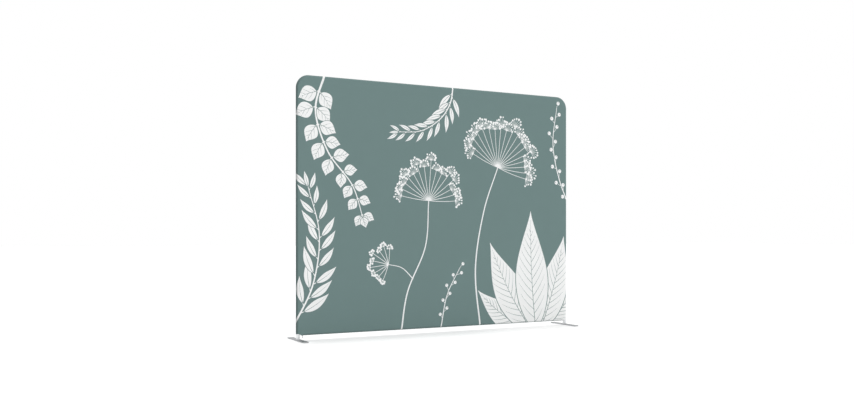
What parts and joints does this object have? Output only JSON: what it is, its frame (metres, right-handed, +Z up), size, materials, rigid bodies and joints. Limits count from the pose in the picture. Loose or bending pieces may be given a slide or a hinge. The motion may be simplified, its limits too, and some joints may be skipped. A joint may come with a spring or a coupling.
{
  "type": "fabric room divider",
  "caption": "Free-standing room divider: a printed stretch-fabric sleeve zipped over a plug-together tube frame with rounded top corners, on flat steel feet.",
  "frame": {"origin": "on the floor, under the middle of the wall", "axes": "+X along the wall to the right seen from the front, +Y to the back, +Z up"},
  "size_m": [2.5184, 0.35, 2],
  "materials": {
    "tube_aluminium": "satin anodised",
    "spring_steel": "blued spring steel",
    "button_steel": "polished",
    "screw_steel": "zinc plated",
    "foot_steel": "silver powder coat",
    "pad_rubber": "matt",
    "sleeve_fabric": "fine stretch knit, printed",
    "zip_tape": "woven tape",
    "zip_teeth": "moulded",
    "zip_metal": "dark plated"
  },
  "bodies": {
    "frame": {"lower_upright_left": "tube_aluminium", "lower_upright_right": "tube_aluminium", "corner_tube_left": "tube_aluminium", "corner_tube_right": "tube_aluminium", "top_rail_left": "tube_aluminium", "top_rail_right": "tube_aluminium", "bottom_rail_left": "tube_aluminium", "bottom_rail_right": "tube_aluminium", "clip_spring_upright_left": "spring_steel", "clip_spring_upright_right": "spring_steel", "clip_spring_top_rail_left": "spring_steel", "clip_spring_top_rail_right": "spring_steel", "clip_spring_top_rail_middle": "spring_steel", "clip_spring_bottom_rail_left": "spring_steel", "clip_spring_bottom_rail_right": "spring_steel", "clip_spring_bottom_rail_middle": "spring_steel", "foot_bolts": "screw_steel", "sleeve_front": "sleeve_fabric", "sleeve_back": "sleeve_fabric", "zip_tape_front": "zip_tape", "zip_tape_back": "zip_tape", "zip_teeth_front": "zip_teeth", "zip_teeth_back": "zip_teeth", "zip_end_stops": "zip_metal"},
    "foot_left": {"foot_plate_left": "foot_steel", "foot_pads_left": "pad_rubber"},
    "foot_right": {"foot_plate_right": "foot_steel", "foot_pads_right": "pad_rubber"},
    "zip_slider": {"zip_slider": "zip_metal"},
    "zip_pull": {"zip_pull": "zip_metal"},
    "snap_button_upright_left": {"snap_button_upright_left": "button_steel"},
    "snap_button_upright_right": {"snap_button_upright_right": "button_steel"},
    "snap_button_top_rail_left": {"snap_button_top_rail_left": "button_steel"},
    "snap_button_top_rail_right": {"snap_button_top_rail_right": "button_steel"},
    "snap_button_top_rail_middle": {"snap_button_top_rail_middle": "button_steel"},
    "snap_button_bottom_rail_left": {"snap_button_bottom_rail_left": "button_steel"},
    "snap_button_bottom_rail_right": {"snap_button_bottom_rail_right": "button_steel"},
    "snap_button_bottom_rail_middle": {"snap_button_bottom_rail_middle": "button_steel"}
  },
  "joints": [
    {"name": "foot_swivel_left", "type": "hinge", "parent": "frame", "child": "foot_left", "pos_m": [-1.2342, 0, 0.008], "axis": [0, 0, 1], "range_deg": [-90, 90]},
    {"name": "foot_swivel_right", "type": "hinge", "parent": "frame", "child": "foot_right", "pos_m": [1.2342, 0, 0.008], "axis": [0, 0, 1], "range_deg": [-90, 90]},
    {"name": "press_upright_left", "type": "slide", "parent": "frame", "child": "snap_button_upright_left", "axis": [-1, 0, 0], "range_m": [0, 0.0042], "stiffness_N_per_m": 2500, "springref_m": -0.002, "deforming": ["clip_spring_upright_left"]},
    {"name": "press_upright_right", "type": "slide", "parent": "frame", "child": "snap_button_upright_right", "axis": [1, 0, 0], "range_m": [0, 0.0042], "stiffness_N_per_m": 2500, "springref_m": -0.002, "deforming": ["clip_spring_upright_right"]},
    {"name": "press_top_rail_left", "type": "slide", "parent": "frame", "child": "snap_button_top_rail_left", "axis": [0, 0, 1], "range_m": [0, 0.0042], "stiffness_N_per_m": 2500, "springref_m": -0.002, "deforming": ["clip_spring_top_rail_left"]},
    {"name": "press_top_rail_right", "type": "slide", "parent": "frame", "child": "snap_button_top_rail_right", "axis": [0, 0, 1], "range_m": [0, 0.0042], "stiffness_N_per_m": 2500, "springref_m": -0.002, "deforming": ["clip_spring_top_rail_right"]},
    {"name": "press_top_rail_middle", "type": "slide", "parent": "frame", "child": "snap_button_top_rail_middle", "axis": [0, 0, 1], "range_m": [0, 0.0042], "stiffness_N_per_m": 2500, "springref_m": -0.002, "deforming": ["clip_spring_top_rail_middle"]},
    {"name": "press_bottom_rail_left", "type": "slide", "parent": "frame", "child": "snap_button_bottom_rail_left", "axis": [0, 0, -1], "range_m": [0, 0.0042], "stiffness_N_per_m": 2500, "springref_m": -0.002, "deforming": ["clip_spring_bottom_rail_left"]},
    {"name": "press_bottom_rail_right", "type": "slide", "parent": "frame", "child": "snap_button_bottom_rail_right", "axis": [0, 0, -1], "range_m": [0, 0.0042], "stiffness_N_per_m": 2500, "springref_m": -0.002, "deforming": ["clip_spring_bottom_rail_right"]},
    {"name": "press_bottom_rail_middle", "type": "slide", "parent": "frame", "child": "snap_button_bottom_rail_middle", "axis": [0, 0, -1], "range_m": [0, 0.0042], "stiffness_N_per_m": 2500, "springref_m": -0.002, "deforming": ["clip_spring_bottom_rail_middle"]},
    {"name": "zip_slide", "type": "slide", "parent": "frame", "child": "zip_slider", "axis": [1, 0, 0], "range_m": [0, 2.396]},
    {"name": "pull_swing", "type": "hinge", "parent": "zip_slider", "child": "zip_pull", "pos_m": [-1.198, 0, 0.0348], "axis": [0, 1, 0], "range_deg": [-85, 85]}
  ]
}
